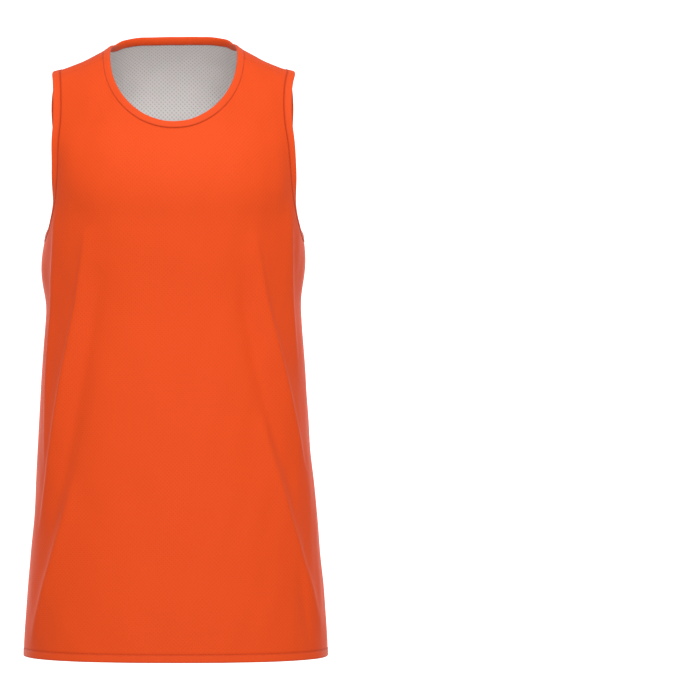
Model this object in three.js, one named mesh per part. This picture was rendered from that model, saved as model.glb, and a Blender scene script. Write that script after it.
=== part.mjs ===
import * as THREE from 'three';

// Basketball jersey: sleeveless and reversible, orange outside and white mesh inside.
// It keeps the hollow shape that it has when worn. Millimetres, +Z up, the front faces -Y.
// The origin is the centre of the neck, level with the high points of the shoulders.

// Cloth and seams
const clothThickness = 1;
const layerSpace = 0.4; // air between the orange layer and the white one
const seamGap = 0.34; // between two pieces that are sewn to each other
const bindingProud = 0.4; // how far a binding stands out from the cloth on both faces

// Hem
const hemBottom = -776;
const hemBindingWidth = 10;

// Neckline, along the seam of its binding
const neckHalfWidth = 88.8;
const neckSideHeight = -19;
const neckFrontHeight = -110.5;
const neckBackDepth = 60;
const neckBackSquareness = 2.6;
const neckBindingWidth = 9;
const neckBindingLean = 55; // degrees that the binding turns up at the back of the neck

// Armhole, seen from the side, along the seam of its binding
const armholeTop = -30.9;
const armholeBottom = -251;
const armholeMiddle = -147;
const armholeHalfWidth = 68;
const armholeTopSquareness = 2.0;
const armholeBottomSquareness = 2.3;
const armholeBackSet = 3; // how far the top of the armhole lies behind the side seam
const armholeBindingWidth = 10;
const armholeFrontLean = 26; // degrees that the binding stands out in front of the arm
const armholeBackLean = 8; // and behind it
const armholeCurl = -60; // degrees that it curls in at the lower part of the armhole

// Shoulder seam, set forward of the top of the shoulder
const shoulderSeamForwardAtArm = 24;

// Body form: sections from the hem up. Depths are taken from the plane of the side seams.
// A squareness of 2 is an ellipse and more is squarer. The skirt hangs a little to one side.
const bodySections = [
  { height: -776, halfWidth: 193.0, frontDepth: 132, backDepth: 122, squareness: 2.4, sideways: 3.2 },
  { height: -706, halfWidth: 189.5, frontDepth: 131, backDepth: 121, squareness: 2.4, sideways: 2.8 },
  { height: -643, halfWidth: 183.6, frontDepth: 129, backDepth: 118, squareness: 2.4, sideways: 2.6 },
  { height: -579, halfWidth: 178.5, frontDepth: 127, backDepth: 115, squareness: 2.4, sideways: 2.6 },
  { height: -515, halfWidth: 173.4, frontDepth: 125, backDepth: 111, squareness: 2.4, sideways: 0.8 },
  { height: -451, halfWidth: 169.6, frontDepth: 123, backDepth: 107, squareness: 2.4, sideways: 0 },
  { height: -385, halfWidth: 165.4, frontDepth: 121, backDepth: 104, squareness: 2.4, sideways: 0 },
  { height: -330, halfWidth: 161.7, frontDepth: 121, backDepth: 104, squareness: 2.4, sideways: 0 },
  { height: -240, halfWidth: 163.0, frontDepth: 127, backDepth: 114, squareness: 2.4, sideways: 1.0 },
  { height: -196, halfWidth: 163.0, frontDepth: 127, backDepth: 117, squareness: 2.35, sideways: 1.2 },
  { height: -150, halfWidth: 168.4, frontDepth: 118, backDepth: 117, squareness: 2.25, sideways: 0.4 },
  { height: -103, halfWidth: 179.5, frontDepth: 98, backDepth: 112, squareness: 2.15, sideways: -1.2 },
  { height: -60, halfWidth: 186.1, frontDepth: 88, backDepth: 105, squareness: 2.1, sideways: -1.4 },
  { height: -20, halfWidth: 187.0, frontDepth: 81, backDepth: 95, squareness: 2.1, sideways: 0.8 },
  { height: 20, halfWidth: 189.0, frontDepth: 74, backDepth: 84, squareness: 2.1, sideways: 1.4 },
];

// Top of the shoulders: height of the ridge at each distance out from the neck's centre
const shoulderRidge = [
  { out: 0, height: 34.5 },
  { out: 40, height: 29.5 },
  { out: 65, height: 14 },
  { out: 78, height: -0.3 },
  { out: 89.5, height: -7.6 },
  { out: 105, height: -15.1 },
  { out: 120, height: -22.4 },
  { out: 139, height: -30.0 },
  { out: 153.6, height: -33.6 },
  { out: 190, height: -43 },
];
const shoulderRounding = 110; // height over which the shoulder rounds over
const shoulderSquareness = 2.2;

// Folds, ridges above 0 and troughs below: the fullness under each arm, the front, then the back.
// Each lies at three turns, at its start, half way down and at its end: degrees from the centre
// front, up to 180 at the centre back; side 1 is +X. A greater fade tapers the ends more.
const folds = [
  { side: -1, top: -230, bottom: -338, start: 97, half: 97, end: 97, rise: 8.0, width: 15, fade: 1.6 },
  { side: 1, top: -230, bottom: -330, start: 96, half: 96, end: 96, rise: 5.5, width: 15, fade: 1.6 },
  { side: -1, top: -205, bottom: -520, start: 64, half: 68.5, end: 66, rise: 1.6, width: 5, fade: 0.8 },
  { side: -1, top: -235, bottom: -575, start: 40, half: 52, end: 69, rise: 3.0, width: 7, fade: 0.8 },
  { side: -1, top: -250, bottom: -650, start: 29, half: 39.5, end: 60, rise: -2.6, width: 6, fade: 0.8 },
  { side: -1, top: -540, bottom: -762, start: 41, half: 53, end: 70, rise: 2.6, width: 7, fade: 0.8 },
  { side: 1, top: -240, bottom: -530, start: 36, half: 49, end: 70, rise: 3.0, width: 7, fade: 0.8 },
  { side: 1, top: -250, bottom: -580, start: 28, half: 35.5, end: 56, rise: -2.2, width: 6, fade: 0.8 },
  { side: 1, top: -480, bottom: -745, start: 38, half: 48.5, end: 70, rise: 3.0, width: 7, fade: 0.8 },
  { side: -1, top: -235, bottom: -600, start: 133, half: 121, end: 104, rise: 3.4, width: 7, fade: 0.8 },
  { side: -1, top: -260, bottom: -660, start: 148, half: 138, end: 118, rise: -2.4, width: 6.5, fade: 0.8 },
  { side: -1, top: -500, bottom: -750, start: 138, half: 127, end: 108, rise: 2.8, width: 7, fade: 0.8 },
  { side: 1, top: -230, bottom: -560, start: 137, half: 124, end: 105, rise: 3.6, width: 7, fade: 0.8 },
  { side: 1, top: -250, bottom: -610, start: 151, half: 141, end: 121, rise: -2.6, width: 6, fade: 0.8 },
  { side: 1, top: -450, bottom: -745, start: 140, half: 126, end: 106, rise: 2.8, width: 7.5, fade: 0.8 },
  { side: 1, top: -215, bottom: -400, start: 112, half: 110, end: 104, rise: 1.6, width: 5, fade: 0.8 },
];

// Label, caught in the side seam
const labelBottom = -727;
const labelTop = -686;
const labelThickness = 0.8;
const labelColumns = 3;

// Mesh steps
const shoulderSteps = 4;
const neckSteps = 18;
const sideSteps = 10; // from the label up to the armhole
const armholeSteps = 12;
const fineSteps = 72;
const relaxRounds = 40;

const orange = 0xe8501f;
const white = 0xf1efec;
const grey = 0x5e6261;

// Reads one column of a table smoothly, level at both ends
function smoothColumn(rows, along, column) {
  const keys = rows.map((row) => row[along]);
  const values = rows.map((row) => row[column]);
  const last = keys.length - 1;
  const slopes = keys.map((key, i) => {
    if (i === 0 || i === last) {
      return 0;
    }
    return (values[i + 1] - values[i - 1]) / (keys[i + 1] - keys[i - 1]);
  });
  return (key) => {
    let i = 0;
    while (i < last - 1 && key > keys[i + 1]) {
      i += 1;
    }
    const span = keys[i + 1] - keys[i];
    const t = THREE.MathUtils.clamp((key - keys[i]) / span, 0, 1);
    const rise = t * t * (3 - 2 * t);
    const leave = t * (1 - t) * (1 - t) * span * slopes[i];
    const arrive = t * t * (t - 1) * span * slopes[i + 1];
    return values[i] + (values[i + 1] - values[i]) * rise + leave + arrive;
  };
}

const halfWidthAt = smoothColumn(bodySections, 'height', 'halfWidth');
const frontDepthAt = smoothColumn(bodySections, 'height', 'frontDepth');
const backDepthAt = smoothColumn(bodySections, 'height', 'backDepth');
const squarenessAt = smoothColumn(bodySections, 'height', 'squareness');
const sidewaysAt = smoothColumn(bodySections, 'height', 'sideways');
const ridgeHeightAt = smoothColumn(shoulderRidge, 'out', 'height');

// How far all the folds lift the cloth at one place, negative in a trough
function foldLift(side, turn, height) {
  let lift = 0;
  for (const fold of folds) {
    const along = (fold.top - height) / (fold.top - fold.bottom);
    if (fold.side !== side || along <= 0 || along >= 1) {
      continue;
    }
    const upper = fold.start * (1 - along) * (1 - 2 * along);
    const middle = fold.half * 4 * along * (1 - along);
    const lower = fold.end * along * (2 * along - 1);
    const away = (turn - upper - middle - lower) / fold.width;
    const taper = Math.sin(Math.PI * along) ** fold.fade;
    lift += fold.rise * taper * Math.exp(-away * away);
  }
  return lift;
}

// Below 0 inside the body form, 0 on the outer face of the cloth, above 0 outside
function bodyLevel(point) {
  const halfWidth = halfWidthAt(point.z);
  const depth = point.y < 0 ? frontDepthAt(point.z) : backDepthAt(point.z);
  const squareness = squarenessAt(point.z);
  const x = point.x - sidewaysAt(point.z);
  const across = Math.abs(x / halfWidth) ** squareness;
  const through = Math.abs(point.y / depth) ** squareness;
  const quarterTurn = THREE.MathUtils.radToDeg(Math.atan2(Math.sqrt(across), Math.sqrt(through)));
  const turn = point.y < 0 ? quarterTurn : 180 - quarterTurn;
  const reach = Math.max(Math.hypot(x, point.y), 1);
  const lift = foldLift(x < 0 ? -1 : 1, turn, point.z);
  const shrink = Math.max(1 - lift / reach, 0.5) ** squareness;
  const belowRidge = ridgeHeightAt(Math.abs(x)) - point.z;
  const top = Math.max(0, 1 - belowRidge / shoulderRounding) ** shoulderSquareness;
  const out = across * shrink;
  return through * shrink + out + Math.max(0, 1 - out) * top - 1;
}

// Direction that points straight out of the body form
function outwardAt(point) {
  const step = 0.05;
  const slope = new THREE.Vector3();
  for (const axis of ['x', 'y', 'z']) {
    const ahead = point.clone();
    const behind = point.clone();
    ahead[axis] += step;
    behind[axis] -= step;
    slope[axis] = (bodyLevel(ahead) - bodyLevel(behind)) / (2 * step);
  }
  return slope;
}

// Moves a point straight onto the body form
function settle(point, rounds = 10) {
  const settled = point.clone();
  for (let round = 0; round < rounds; round += 1) {
    const slope = outwardAt(settled);
    const steepness = Math.max(slope.length(), 1e-6);
    const distance = THREE.MathUtils.clamp(bodyLevel(settled) / steepness, -20, 20);
    settled.addScaledVector(slope, -distance / steepness);
  }
  return settled;
}

// Where a ray from inside the body form comes out of it
function meetBody(start, direction) {
  let inside = 0;
  let outside = 300;
  for (let round = 0; round < 40; round += 1) {
    const middle = (inside + outside) / 2;
    if (bodyLevel(start.clone().addScaledVector(direction, middle)) < 0) {
      inside = middle;
    } else {
      outside = middle;
    }
  }
  return start.clone().addScaledVector(direction, inside);
}

// Points at equal steps along a curve that is worked out for shares from 0 to 1
function evenPoints(curveAt, steps) {
  const fine = [];
  for (let i = 0; i <= fineSteps; i += 1) {
    fine.push(curveAt(i / fineSteps));
  }
  const points = new THREE.CatmullRomCurve3(fine).getSpacedPoints(steps);
  return points.map((point) => settle(point));
}

function signedPower(value, power) {
  return Math.sign(value) * Math.abs(value) ** power;
}

// Front neckline from the shoulder seam at -X down to the centre and up to +X
function frontNeckAt(share) {
  const angle = Math.PI * (share - 0.5);
  const x = neckHalfWidth * Math.sin(angle);
  const z = neckSideHeight + (neckFrontHeight - neckSideHeight) * Math.cos(angle);
  return meetBody(new THREE.Vector3(x, 0, z), new THREE.Vector3(0, -1, 0));
}

const neckCorner = frontNeckAt(1);

// Back neckline from the shoulder seam at -X over the shoulder to the centre and on to +X
function backNeckAt(share) {
  const angle = Math.PI * (share - 0.5);
  const power = 2 / neckBackSquareness;
  const x = neckCorner.x * signedPower(Math.sin(angle), power);
  const y = neckCorner.y + (neckBackDepth - neckCorner.y) * Math.cos(angle) ** power;
  return meetBody(new THREE.Vector3(x, y, -110), new THREE.Vector3(0, 0, 1));
}

// Armhole seam, by the angle from the top of the shoulder: below 0 in front, above 0 behind
function armholeAt(side, angle) {
  const upper = Math.cos(angle) > 0;
  const power = 2 / (upper ? armholeTopSquareness : armholeBottomSquareness);
  const rise = signedPower(Math.cos(angle), power);
  const backSet = (armholeBackSet * (1 + Math.cos(angle))) / 2;
  const y = armholeHalfWidth * signedPower(Math.sin(angle), power) + backSet;
  const reach = upper ? armholeTop - armholeMiddle : armholeMiddle - armholeBottom;
  const z = armholeMiddle + rise * reach;
  return meetBody(new THREE.Vector3(side * 60, y, z), new THREE.Vector3(side, 0, 0));
}

const seamForwardShare = (shoulderSeamForwardAtArm + armholeBackSet) / armholeHalfWidth;
const seamAngle = -Math.asin(seamForwardShare ** (armholeTopSquareness / 2));

// Half of an armhole from the underarm up to the shoulder seam
function armholeHalf(side, facing) {
  const start = facing * Math.PI;
  return evenPoints((share) => armholeAt(side, start + (seamAngle - start) * share), armholeSteps);
}

// Shoulder seam from the armhole to the neck
function shoulderSeam(side) {
  const tip = armholeAt(side, seamAngle);
  const corner = new THREE.Vector3(side * neckCorner.x, neckCorner.y, neckCorner.z);
  return evenPoints((share) => {
    const start = tip.clone().lerp(corner, share);
    start.z = -110;
    return meetBody(start, new THREE.Vector3(0, 0, 1));
  }, shoulderSteps);
}

// Lower edge of a panel, from the side seam at -X to the one at +X
function hemLine(facing, columns) {
  const z = hemBottom + hemBindingWidth;
  const depth = facing < 0 ? frontDepthAt(z) : backDepthAt(z);
  const power = 2 / squarenessAt(z);
  const centre = new THREE.Vector3(sidewaysAt(z), 0, z);
  const points = [];
  for (let i = 0; i <= columns; i += 1) {
    const angle = Math.PI * (i / columns - 0.5);
    const x = halfWidthAt(z) * signedPower(Math.sin(angle), power);
    const y = facing * depth * Math.max(Math.cos(angle), 0) ** power;
    points.push(meetBody(centre, new THREE.Vector3(x, y, 0).normalize()));
  }
  return points;
}

// Side seam from the hem up to the underarm
function sideSeam(side) {
  const heights = [hemBottom + hemBindingWidth, labelBottom];
  for (let i = 0; i <= sideSteps; i += 1) {
    heights.push(labelTop + ((armholeBottom - labelTop) * i) / sideSteps);
  }
  return heights.map((z) => meetBody(new THREE.Vector3(0, 0, z), new THREE.Vector3(side, 0, 0)));
}

const columns = 2 * shoulderSteps + neckSteps;
const seamRows = sideSteps + 2;
const rows = seamRows + armholeSteps;

// One panel's points, row by row from the hem to the neckline, columns from -X to +X.
// The edges are blended across the panel, and each point is then moved onto the body form.
function panelPoints(facing) {
  const bottom = hemLine(facing, columns);
  const neck = evenPoints(facing < 0 ? frontNeckAt : backNeckAt, neckSteps);
  const top = [...shoulderSeam(-1), ...neck.slice(1, -1), ...shoulderSeam(1).reverse()];
  const left = [...sideSeam(-1), ...armholeHalf(-1, facing).slice(1)];
  const right = [...sideSeam(1), ...armholeHalf(1, facing).slice(1)];
  const grid = [];
  for (let row = 0; row <= rows; row += 1) {
    const v = row / rows;
    const line = [];
    for (let column = 0; column <= columns; column += 1) {
      const u = column / columns;
      const point = new THREE.Vector3();
      point.addScaledVector(bottom[column], 1 - v).addScaledVector(top[column], v);
      point.addScaledVector(left[row], 1 - u).addScaledVector(right[row], u);
      point.addScaledVector(bottom[0], -(1 - u) * (1 - v));
      point.addScaledVector(bottom[columns], -u * (1 - v));
      point.addScaledVector(top[0], -(1 - u) * v).addScaledVector(top[columns], -u * v);
      line.push(settle(point));
    }
    grid.push(line);
  }
  return relax(grid);
}

// Evens out the inner points of a panel and keeps them on the body form
function relax(grid) {
  for (let round = 0; round < relaxRounds; round += 1) {
    for (let row = 1; row < rows; row += 1) {
      for (let column = 1; column < columns; column += 1) {
        const middle = new THREE.Vector3();
        middle.add(grid[row - 1][column]).add(grid[row + 1][column]);
        middle.add(grid[row][column - 1]).add(grid[row][column + 1]);
        grid[row][column] = settle(middle.multiplyScalar(0.25), 2);
      }
    }
  }
  return grid.map((line) => line.map((point) => settle(point)));
}

// Draws the edges that are sewn to the other panel back by half a seam gap
function openSeams(grid) {
  const opened = grid.map((line) => line.map((point) => point.clone()));
  const drawBack = (row, column, rowStep, columnStep) => {
    const inward = grid[row + rowStep][column + columnStep].clone().sub(grid[row][column]).normalize();
    opened[row][column].addScaledVector(inward, seamGap / 2);
  };
  for (let row = 0; row <= seamRows; row += 1) {
    drawBack(row, 0, 0, 1);
    drawBack(row, columns, 0, -1);
  }
  for (let column = 0; column <= shoulderSteps; column += 1) {
    drawBack(rows, column, -1, 0);
    drawBack(rows, columns - column, -1, 0);
  }
  return opened;
}

function offsetGrid(grid, outward, distance) {
  return grid.map((line, row) => line.map((point, column) => {
    return point.clone().addScaledVector(outward[row][column], distance);
  }));
}

// Triangles of a closed mesh from a list of points and four-cornered faces
function meshFromFaces(name, points, faces, color, roughness) {
  const positions = points.flatMap((point) => [point.x, point.y, point.z]);
  const indices = faces.flatMap(([a, b, c, d]) => [a, b, c, a, c, d]);
  const geometry = new THREE.BufferGeometry();
  geometry.setAttribute('position', new THREE.Float32BufferAttribute(positions, 3));
  geometry.setIndex(indices);
  geometry.computeVertexNormals();
  const material = new THREE.MeshStandardMaterial({ color, roughness, metalness: 0 });
  const mesh = new THREE.Mesh(geometry, material);
  mesh.name = name;
  return mesh;
}

// A wall between two grids of points; facing -1 looks towards -Y
function wall(name, outer, inner, facing, color, roughness) {
  const height = outer.length - 1;
  const width = outer[0].length - 1;
  const points = [...outer.flat(), ...inner.flat()];
  const faces = [];
  const out = (row, column) => row * (width + 1) + column;
  const into = (row, column) => (height + 1) * (width + 1) + out(row, column);
  const rim = (row, column, nextRow, nextColumn) => {
    faces.push([out(row, column), out(nextRow, nextColumn), into(nextRow, nextColumn), into(row, column)]);
  };
  for (let row = 0; row < height; row += 1) {
    const up = row + 1;
    for (let column = 0; column < width; column += 1) {
      const right = column + 1;
      faces.push([out(row, column), out(row, right), out(up, right), out(up, column)]);
      faces.push([into(row, column), into(up, column), into(up, right), into(row, right)]);
    }
    rim(row, 0, up, 0);
    rim(up, width, row, width);
  }
  for (let column = 0; column < width; column += 1) {
    rim(0, column + 1, 0, column);
    rim(height, column, height, column + 1);
  }
  const turned = facing < 0 ? faces : faces.map((face) => [...face].reverse());
  return meshFromFaces(name, points, turned, color, roughness);
}

const outerDepths = [0, -clothThickness];
const innerDepths = [-clothThickness - layerSpace, -2 * clothThickness - layerSpace];
const bindingTop = bindingProud;
const bindingBottom = innerDepths[1] - bindingProud;

// A binding's section: how far out from the seam, and how high over the cloth's outer face
function bindingSection(width) {
  const middle = (bindingTop + bindingBottom) / 2;
  const roundOver = 1.2;
  return [
    { out: seamGap, up: bindingBottom },
    { out: width / 2, up: bindingBottom },
    { out: width - roundOver, up: bindingBottom },
    { out: width, up: middle },
    { out: width - roundOver, up: bindingTop },
    { out: width / 2, up: bindingTop },
    { out: seamGap, up: bindingTop },
  ];
}

// A closed ring of binding along a loop of seam points, its free edge on the loop's left hand.
// The lean, in degrees, turns the strip's free edge up from the cloth.
function binding(name, loop, width, leanAt) {
  const section = bindingSection(width);
  const points = [];
  const faces = [];
  loop.forEach((point, station) => {
    const before = loop[(station + loop.length - 1) % loop.length];
    const after = loop[(station + 1) % loop.length];
    const outward = outwardAt(point).normalize();
    const ahead = after.clone().sub(before).normalize();
    const free = new THREE.Vector3().crossVectors(outward, ahead).normalize();
    const lean = THREE.MathUtils.degToRad(leanAt(point));
    for (const corner of section) {
      const bend = (lean * corner.out) / width;
      const turned = Math.abs(bend) > 1e-6;
      const along = turned ? (corner.out * Math.sin(bend)) / bend : corner.out;
      const lifted = turned ? (corner.out * (1 - Math.cos(bend))) / bend : 0;
      const place = point.clone();
      place.addScaledVector(free, along - corner.up * Math.sin(bend));
      place.addScaledVector(outward, lifted + corner.up * Math.cos(bend));
      points.push(place);
    }
    const sides = section.length;
    const next = ((station + 1) % loop.length) * sides;
    for (let side = 0; side < sides; side += 1) {
      const beside = (side + 1) % sides;
      faces.push([station * sides + side, station * sides + beside, next + beside, next + side]);
    }
  });
  return meshFromFaces(name, points, faces, orange, 0.75);
}

const flat = () => 0;

function armholeLean(point) {
  const upper = point.y < 0 ? armholeFrontLean : armholeBackLean;
  const lower = THREE.MathUtils.smoothstep(-point.z, 164, 234);
  const lean = upper + (armholeCurl - upper) * lower;
  return lean * THREE.MathUtils.smoothstep(Math.abs(point.y), 15, 55);
}

function neckLean(point) {
  return neckBindingLean * THREE.MathUtils.smoothstep(point.y, neckCorner.y, neckBackDepth);
}

const jersey = new THREE.Group();
const frontPoints = panelPoints(-1);
const backPoints = panelPoints(1);
const panels = [
  { place: 'front', facing: -1, grid: frontPoints },
  { place: 'back', facing: 1, grid: backPoints },
];

for (const panel of panels) {
  const outward = panel.grid.map((line) => line.map((point) => outwardAt(point).normalize()));
  const opened = openSeams(panel.grid);
  const face = (depth) => offsetGrid(opened, outward, depth);
  jersey.add(wall(`outer_${panel.place}`, ...outerDepths.map(face), panel.facing, orange, 0.8));
  jersey.add(wall(`inner_${panel.place}`, ...innerDepths.map(face), panel.facing, white, 0.85));
  if (panel.place === 'front') {
    const labelPart = (grid) => grid.slice(1, 3).map((line) => line.slice(0, labelColumns + 1));
    const upper = labelPart(face(innerDepths[1] - seamGap));
    const lower = labelPart(face(innerDepths[1] - seamGap - labelThickness));
    jersey.add(wall('side_label', upper, lower, panel.facing, grey, 0.6));
  }
}

const neckFrom = shoulderSteps;
const neckTo = shoulderSteps + neckSteps;
const neckLoop = [
  ...frontPoints[rows].slice(neckFrom, neckTo + 1),
  ...backPoints[rows].slice(neckFrom + 1, neckTo).reverse(),
];
jersey.add(binding('neck_binding', neckLoop, neckBindingWidth, neckLean));

const hemLoop = [...frontPoints[0]].reverse().concat(backPoints[0].slice(1, -1));
jersey.add(binding('hem_binding', hemLoop, hemBindingWidth, flat));

// One armhole's loop from the underarm up one edge, over the shoulder and down the other
function armholeLoop(upPoints, downPoints, column) {
  const edge = (grid) => grid.slice(seamRows, rows + 1).map((line) => line[column]);
  return [...edge(upPoints), ...edge(downPoints).slice(1, -1).reverse()];
}

const leftLoop = armholeLoop(backPoints, frontPoints, columns);
const rightLoop = armholeLoop(frontPoints, backPoints, 0);
jersey.add(binding('armhole_binding_left', leftLoop, armholeBindingWidth, armholeLean));
jersey.add(binding('armhole_binding_right', rightLoop, armholeBindingWidth, armholeLean));

export default jersey;
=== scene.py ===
import math

import bpy
import numpy as np
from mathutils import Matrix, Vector


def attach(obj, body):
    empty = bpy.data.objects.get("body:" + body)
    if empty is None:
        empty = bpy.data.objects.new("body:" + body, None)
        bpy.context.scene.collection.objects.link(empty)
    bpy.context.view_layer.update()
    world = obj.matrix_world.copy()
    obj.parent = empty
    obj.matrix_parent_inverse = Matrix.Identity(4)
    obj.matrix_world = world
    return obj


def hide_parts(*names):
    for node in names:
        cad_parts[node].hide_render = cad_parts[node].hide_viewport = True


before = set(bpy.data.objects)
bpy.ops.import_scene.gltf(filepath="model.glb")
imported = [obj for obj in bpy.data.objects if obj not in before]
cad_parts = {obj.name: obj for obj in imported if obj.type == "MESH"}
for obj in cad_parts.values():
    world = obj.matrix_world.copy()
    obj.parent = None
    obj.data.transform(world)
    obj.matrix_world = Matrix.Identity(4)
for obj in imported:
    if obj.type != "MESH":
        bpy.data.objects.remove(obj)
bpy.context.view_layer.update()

# A reversible basketball jersey, filled out with no wearer: orange outside, white mesh inside.
# Sizes are in millimetres until a mesh is made. The front faces -Y, the wearer's left side is at +X.
toMetres = 0.001
print("frame loaded")


def table(columnNames, *rowValues):  # one dictionary for each row
    return [dict(zip(columnNames.split(), row)) for row in rowValues]


def placeInScene(name, data):
    thing = bpy.data.objects.new(name, data)
    bpy.context.scene.collection.objects.link(thing)
    return thing


# The body form that all the cloth lies on

body = {
    "sections": table(  # from the hem up; depths are from the plane of the side seams
        "height halfWidth frontDepth backDepth squareness sideways",
        (-776, 193.0, 132, 122, 2.4, 3.2),
        (-706, 189.5, 131, 121, 2.4, 2.8),
        (-643, 183.6, 129, 118, 2.4, 2.6),
        (-579, 178.5, 127, 115, 2.4, 2.6),
        (-515, 173.4, 125, 111, 2.4, 0.8),
        (-451, 169.6, 123, 107, 2.4, 0),
        (-385, 165.4, 121, 104, 2.4, 0),
        (-330, 161.7, 121, 104, 2.4, 0),
        (-240, 163.0, 127, 114, 2.4, 1.0),
        (-196, 163.0, 127, 117, 2.35, 1.2),
        (-150, 168.4, 118, 117, 2.25, 0.4),
        (-103, 179.5, 98, 112, 2.15, -1.2),
        (-60, 186.1, 88, 105, 2.1, -1.4),
        (-20, 187.0, 81, 95, 2.1, 0.8),
        (20, 189.0, 74, 84, 2.1, 1.4),
    ),
    "ridge": table(  # top of the shoulders
        "out height",
        (0, 34.5),
        (40, 29.5),
        (65, 14),
        (78, -0.3),
        (89.5, -7.6),
        (105, -15.1),
        (120, -22.4),
        (139, -30.0),
        (153.6, -33.6),
        (190, -43),
    ),
    "shoulderRounding": 110,
    "shoulderSquareness": 2.2,
}

# The broad folds of the cloth, ridges above 0 and troughs below: first the fullness under each arm,
# then the front, then the back. Turns are degrees from the centre front, 180 at the centre back, at
# the top, half way down and at the bottom. A greater fade tapers the ends more.
folds = table(
    "side top bottom turns rise width fade",
    (-1, -230, -338, (97, 97, 97), 8.0, 15, 1.6),
    (1, -230, -330, (96, 96, 96), 5.5, 15, 1.6),
    (-1, -205, -520, (64, 68.5, 66), 1.6, 5, 0.8),
    (-1, -235, -575, (40, 52, 69), 3.0, 7, 0.8),
    (-1, -250, -650, (29, 39.5, 60), -2.6, 6, 0.8),
    (-1, -540, -762, (41, 53, 70), 2.6, 7, 0.8),
    (1, -240, -530, (36, 49, 70), 3.0, 7, 0.8),
    (1, -250, -580, (28, 35.5, 56), -2.2, 6, 0.8),
    (1, -480, -745, (38, 48.5, 70), 3.0, 7, 0.8),
    (-1, -235, -600, (133, 121, 104), 3.4, 7, 0.8),
    (-1, -260, -660, (148, 138, 118), -2.4, 6.5, 0.8),
    (-1, -500, -750, (138, 127, 108), 2.8, 7, 0.8),
    (1, -230, -560, (137, 124, 105), 3.6, 7, 0.8),
    (1, -250, -610, (151, 141, 121), -2.6, 6, 0.8),
    (1, -450, -745, (140, 126, 106), 2.8, 7.5, 0.8),
    (1, -215, -400, (112, 110, 104), 1.6, 5, 0.8),
)


def smoothColumn(given, along, column):
    keys = np.array([row[along] for row in given], float)
    values = np.array([row[column] for row in given], float)
    slopes = np.zeros(len(keys))
    slopes[1:-1] = (values[2:] - values[:-2]) / (keys[2:] - keys[:-2])

    def read(at):
        i = np.clip(np.searchsorted(keys, at, side="right") - 1, 0, len(keys) - 2)
        span = keys[i + 1] - keys[i]
        t = np.clip((at - keys[i]) / span, 0, 1)
        rise = t * t * (3 - 2 * t)
        leave = t * (1 - t) ** 2 * span * slopes[i]
        arrive = t * t * (t - 1) * span * slopes[i + 1]
        return values[i] + (values[i + 1] - values[i]) * rise + leave + arrive

    return read


bodyColumns = {
    column: smoothColumn(body["sections"], "height", column)
    for column in ("halfWidth", "frontDepth", "backDepth", "squareness", "sideways")
}
ridgeHeight = smoothColumn(body["ridge"], "out", "height")


def foldRise(foldRows, side, turn, height, shapeOf):
    lift = np.zeros(len(turn))
    for fold in foldRows:
        along = (fold["top"] - height) / (fold["top"] - fold["bottom"])
        on = (side == fold["side"]) & (along > 0) & (along < 1)
        if not on.any():
            continue
        t = along[on]
        first, half, last = fold["turns"]
        middle = first * (1 - t) * (1 - 2 * t) + half * 4 * t * (1 - t) + last * t * (2 * t - 1)
        outside = (turn[on] - middle) * (1 if half < 90 else -1)
        lift[on] += fold["rise"] * np.sin(np.pi * t) ** fold["fade"] * shapeOf(fold, outside)
    return lift


def foldShape(fold, outside):
    return np.exp(-(outside / fold["width"]) ** 2)


def bodyLevel(points):  # below 0 inside the body form, 0 on the outer face of the cloth
    x, y, z = points[:, 0], points[:, 1], points[:, 2]
    x = x - bodyColumns["sideways"](z)
    depth = np.where(y < 0, bodyColumns["frontDepth"](z), bodyColumns["backDepth"](z))
    squareness = bodyColumns["squareness"](z)
    across = np.abs(x / bodyColumns["halfWidth"](z)) ** squareness
    through = np.abs(y / depth) ** squareness
    quarter = np.degrees(np.arctan2(np.sqrt(across), np.sqrt(through)))
    turn = np.where(y < 0, quarter, 180 - quarter)
    reach = np.maximum(np.hypot(x, y), 1)
    lift = foldRise(folds, np.where(x < 0, -1, 1), turn, z, foldShape)
    shrink = np.maximum(1 - lift / reach, 0.5) ** squareness
    below = ridgeHeight(np.abs(x)) - z
    top = np.maximum(0, 1 - below / body["shoulderRounding"]) ** body["shoulderSquareness"]
    out = across * shrink
    return through * shrink + out + np.maximum(0, 1 - out) * top - 1


rays = {
    "reach": 300.0,  # past the outside of the body form
    "halvings": 40,
    "startHeight": -110,  # of rays that go up to the shoulders
    "startOut": 60,  # of rays that go out to an armhole
    "longestStep": 20,  # of a point that settles on the body form
    "slopeStep": 0.05,
}


def slopeAt(points):
    step = rays["slopeStep"]
    slope = np.empty_like(points)
    for axis in range(3):
        shift = np.zeros(3)
        shift[axis] = step
        slope[:, axis] = (bodyLevel(points + shift) - bodyLevel(points - shift)) / (2 * step)
    return slope


def outwardAt(points):
    slope = slopeAt(points)
    return slope / np.linalg.norm(slope, axis=1, keepdims=True)


def settle(points, rounds=10):
    settled = points.copy()
    for _ in range(rounds):
        slope = slopeAt(settled)
        steepness = np.maximum(np.linalg.norm(slope, axis=1), 1e-6)
        distance = np.clip(bodyLevel(settled) / steepness, -rays["longestStep"], rays["longestStep"])
        settled -= slope * (distance / steepness)[:, None]
    return settled


def meetBody(starts, directions):  # where rays from inside the body form come out of it
    inside = np.zeros(len(starts))
    outside = np.full(len(starts), rays["reach"])
    for _ in range(rays["halvings"]):
        middle = (inside + outside) / 2
        within = bodyLevel(starts + directions * middle[:, None]) < 0
        inside = np.where(within, middle, inside)
        outside = np.where(within, outside, middle)
    return starts + directions * inside[:, None]


# Seam lines, each a function of a share from 0 to 1

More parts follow.
